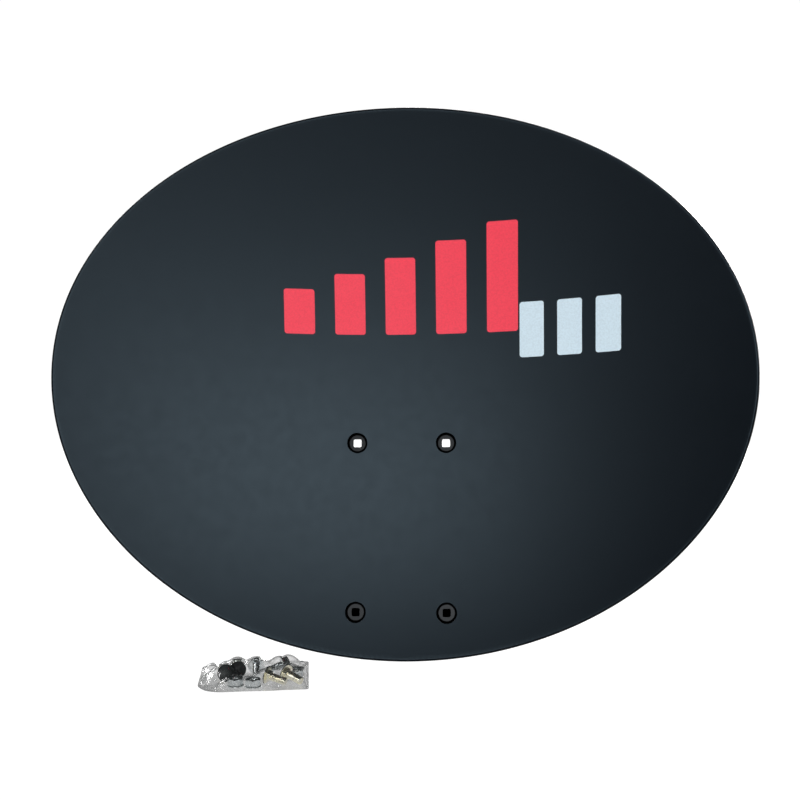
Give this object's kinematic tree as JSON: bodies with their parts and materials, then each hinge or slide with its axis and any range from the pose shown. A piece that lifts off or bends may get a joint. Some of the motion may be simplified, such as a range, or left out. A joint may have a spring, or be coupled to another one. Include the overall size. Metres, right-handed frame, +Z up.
{
  "type": "satellite dish reflector",
  "caption": "Offset elliptical satellite dish reflector of pressed, charcoal-coated steel with a rolled rim and bolt seats, and its bag of mounting bolts and nuts.",
  "frame": {"origin": "centre of the four-bolt pattern, on the plane of the bolt seats' back faces", "axes": "+X to the right seen from the front, +Y out of the dish's back, +Z up along the chord from the bottom rim to the top rim"},
  "size_m": [0.5714, 0.1266, 0.4587],
  "materials": {
    "reflector_paint": "matte charcoal powder coat with a fine grain",
    "print_red": "flat screen-printed ink",
    "print_pale": "flat screen-printed ink",
    "bag_film": "clear, slightly milky polyethylene film with creases",
    "carriage_bolt_finish": "black paint on the head, yellowish zinc on the neck and thread",
    "screw_zinc": "bright zinc plate",
    "nut_zinc": "bright zinc plate",
    "washer_zinc": "bright zinc plate"
  },
  "bodies": {
    "reflector": {"reflector": "reflector_paint", "print_red_bar_1": "print_red", "print_red_bar_2": "print_red", "print_red_bar_3": "print_red", "print_red_bar_4": "print_red", "print_red_bar_5": "print_red", "print_pale_bar_1": "print_pale", "print_pale_bar_2": "print_pale", "print_pale_bar_3": "print_pale"},
    "hardware_kit": {"bag_bottom_film": "bag_film", "bag_top_film": "bag_film", "carriage_bolt_1": "carriage_bolt_finish", "carriage_bolt_2": "carriage_bolt_finish", "carriage_bolt_3": "carriage_bolt_finish", "carriage_bolt_4": "carriage_bolt_finish", "flange_screw_1": "screw_zinc", "flange_screw_2": "screw_zinc", "nut_2": "nut_zinc", "nut_3": "nut_zinc", "nut_4": "nut_zinc"},
    "nut_1_washer": {"nut_1_washer": "washer_zinc"},
    "nut_1": {"nut_1": "nut_zinc"},
    "nut_2_washer": {"nut_2_washer": "washer_zinc"},
    "nut_3_washer": {"nut_3_washer": "washer_zinc"},
    "nut_4_washer": {"nut_4_washer": "washer_zinc"}
  },
  "joints": [
    {"name": "kit_lift", "type": "slide", "parent": "reflector", "child": "hardware_kit", "axis": [0, 0, 1], "range_m": [0, 0.15]},
    {"name": "nut_1_travel", "type": "slide", "parent": "hardware_kit", "child": "nut_1_washer", "axis": [-0.2504, 0.9681, -0.0057], "range_m": [-0.00128, 0.00382]},
    {"name": "nut_1_spin", "type": "hinge", "parent": "nut_1_washer", "child": "nut_1", "pos_m": [-0.1257, -0.06653, -0.10135], "axis": [-0.2504, 0.9681, -0.0057], "range_deg": [-360, 1080]},
    {"name": "nut_2_washer_spin", "type": "hinge", "parent": "hardware_kit", "child": "nut_2_washer", "pos_m": [-0.12033, -0.09631, -0.1047], "axis": [0, 0, 1], "continuous": true},
    {"name": "nut_3_washer_spin", "type": "hinge", "parent": "hardware_kit", "child": "nut_3_washer", "pos_m": [-0.10658, -0.09748, -0.1047], "axis": [0, 0, 1], "continuous": true},
    {"name": "nut_4_washer_spin", "type": "hinge", "parent": "hardware_kit", "child": "nut_4_washer", "pos_m": [-0.07924, -0.06682, -0.1047], "axis": [0, 0, 1], "continuous": true}
  ],
  "couplings": [
    {"joint": "nut_1_travel", "follows": "nut_1_spin", "m_per_rad": 0.00020213}
  ]
}
